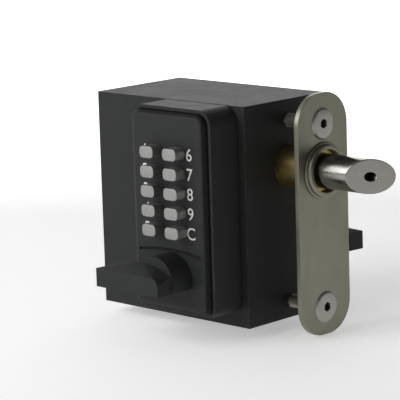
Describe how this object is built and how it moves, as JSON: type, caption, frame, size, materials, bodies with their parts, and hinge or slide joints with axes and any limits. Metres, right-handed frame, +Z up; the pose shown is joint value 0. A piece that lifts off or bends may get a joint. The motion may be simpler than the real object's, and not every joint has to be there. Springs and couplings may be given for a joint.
{
  "type": "keypad gate lock",
  "caption": "Mechanical push-button code lock for a gate, with a box case, keypad, turning handles on both sides, and a sprung bevelled latch through a faceplate.",
  "frame": {"origin": "the latch bolt's axis where it crosses the gate stile's outer face, which is the back of the faceplate", "axes": "+X the way the latch bolt points, -Y towards the outside, where the keypad is, +Z up"},
  "size_m": [0.1895, 0.1525, 0.1403],
  "materials": {
    "case_paint": "fine-textured charcoal powder coat",
    "keypad_paint": "satin charcoal powder coat on die-cast zinc",
    "handle_paint": "satin charcoal powder coat on die-cast zinc",
    "faceplate_steel": "satin brushed stainless steel",
    "bolt_steel": "satin turned stainless steel",
    "latch_steel": "turned stainless steel, lightly polished",
    "button_metal": "satin bead-blasted nickel",
    "brass": "machined brass",
    "drive_steel": "zinc-plated steel",
    "spring_steel": "bright spring wire",
    "zinc_screws": "bright stainless socket screws",
    "gasket_rubber": "matt black sheet rubber"
  },
  "bodies": {
    "lock": {"lock_case": "case_paint", "case_rear_cover": "case_paint", "rear_cover_screws": "zinc_screws", "faceplate": "faceplate_steel", "latch_collar": "faceplate_steel", "fixing_bolts": "bolt_steel", "latch_bush": "brass", "latch_spring": "spring_steel", "spring_guide": "drive_steel", "keypad_housing": "keypad_paint", "housing_gasket": "gasket_rubber", "housing_screws": "zinc_screws", "keypad_cover": "keypad_paint", "button_guide_plate": "drive_steel", "code_chamber": "brass", "outside_handle_bush": "brass", "outside_handle_spring": "spring_steel", "inside_plate": "keypad_paint", "inside_handle_bush": "brass", "inside_handle_spring": "spring_steel", "button_spring_1": "spring_steel", "button_spring_2": "spring_steel", "button_spring_3": "spring_steel", "button_spring_4": "spring_steel", "button_spring_5": "spring_steel", "button_spring_6": "spring_steel", "button_spring_7": "spring_steel", "button_spring_8": "spring_steel", "button_spring_9": "spring_steel", "button_spring_c": "spring_steel"},
    "outside_handle": {"outside_handle": "handle_paint", "outside_spindle": "drive_steel", "outside_circlip": "spring_steel", "clutch_dog": "drive_steel"},
    "inside_handle": {"inside_handle": "handle_paint", "inside_spindle": "drive_steel", "inside_circlip": "spring_steel", "latch_cam": "drive_steel"},
    "latch": {"latch_bolt": "latch_steel", "latch_carriage": "drive_steel"},
    "button_1": {"button_1": "button_metal", "code_pin_1": "brass"},
    "button_2": {"button_2": "button_metal", "code_pin_2": "brass"},
    "button_3": {"button_3": "button_metal", "code_pin_3": "brass"},
    "button_4": {"button_4": "button_metal", "code_pin_4": "brass"},
    "button_5": {"button_5": "button_metal", "code_pin_5": "brass"},
    "button_6": {"button_6": "button_metal", "code_pin_6": "brass"},
    "button_7": {"button_7": "button_metal", "code_pin_7": "brass"},
    "button_8": {"button_8": "button_metal", "code_pin_8": "brass"},
    "button_9": {"button_9": "button_metal", "code_pin_9": "brass"},
    "button_c": {"button_c": "button_metal", "code_pin_c": "brass"}
  },
  "joints": [
    {"name": "button_1_press", "type": "slide", "parent": "lock", "child": "button_1", "axis": [0, 1, 0], "range_m": [0, 0.003], "stiffness_N_per_m": 500, "springref_m": -0.001, "deforming": ["button_spring_1"]},
    {"name": "button_2_press", "type": "slide", "parent": "lock", "child": "button_2", "axis": [0, 1, 0], "range_m": [0, 0.003], "stiffness_N_per_m": 500, "springref_m": -0.001, "deforming": ["button_spring_2"]},
    {"name": "button_3_press", "type": "slide", "parent": "lock", "child": "button_3", "axis": [0, 1, 0], "range_m": [0, 0.003], "stiffness_N_per_m": 500, "springref_m": -0.001, "deforming": ["button_spring_3"]},
    {"name": "button_4_press", "type": "slide", "parent": "lock", "child": "button_4", "axis": [0, 1, 0], "range_m": [0, 0.003], "stiffness_N_per_m": 500, "springref_m": -0.001, "deforming": ["button_spring_4"]},
    {"name": "button_5_press", "type": "slide", "parent": "lock", "child": "button_5", "axis": [0, 1, 0], "range_m": [0, 0.003], "stiffness_N_per_m": 500, "springref_m": -0.001, "deforming": ["button_spring_5"]},
    {"name": "button_6_press", "type": "slide", "parent": "lock", "child": "button_6", "axis": [0, 1, 0], "range_m": [0, 0.003], "stiffness_N_per_m": 500, "springref_m": -0.001, "deforming": ["button_spring_6"]},
    {"name": "button_7_press", "type": "slide", "parent": "lock", "child": "button_7", "axis": [0, 1, 0], "range_m": [0, 0.003], "stiffness_N_per_m": 500, "springref_m": -0.001, "deforming": ["button_spring_7"]},
    {"name": "button_8_press", "type": "slide", "parent": "lock", "child": "button_8", "axis": [0, 1, 0], "range_m": [0, 0.003], "stiffness_N_per_m": 500, "springref_m": -0.001, "deforming": ["button_spring_8"]},
    {"name": "button_9_press", "type": "slide", "parent": "lock", "child": "button_9", "axis": [0, 1, 0], "range_m": [0, 0.003], "stiffness_N_per_m": 500, "springref_m": -0.001, "deforming": ["button_spring_9"]},
    {"name": "button_c_press", "type": "slide", "parent": "lock", "child": "button_c", "axis": [0, 1, 0], "range_m": [0, 0.003], "stiffness_N_per_m": 500, "springref_m": -0.001, "deforming": ["button_spring_c"]},
    {"name": "outside_handle_turn", "type": "hinge", "parent": "lock", "child": "outside_handle", "pos_m": [-0.05725, -0.063, -0.0585], "axis": [0, -1, 0], "range_deg": [0, 70], "stiffness_Nm_per_rad": 0.12, "springref_deg": -34.38},
    {"name": "inside_handle_turn", "type": "hinge", "parent": "lock", "child": "inside_handle", "pos_m": [-0.05725, 0.0365, -0.0585], "axis": [0, 1, 0], "range_deg": [0, 70], "stiffness_Nm_per_rad": 0.12, "springref_deg": -34.38},
    {"name": "latch_slide", "type": "slide", "parent": "lock", "child": "latch", "axis": [-1, 0, 0], "range_m": [0, 0.0252], "stiffness_N_per_m": 120, "springref_m": -0.03, "deforming": ["latch_spring"]}
  ],
  "couplings": [
    {"joint": "latch_slide", "follows": "inside_handle_turn", "m_per_rad": 0.02062}
  ]
}
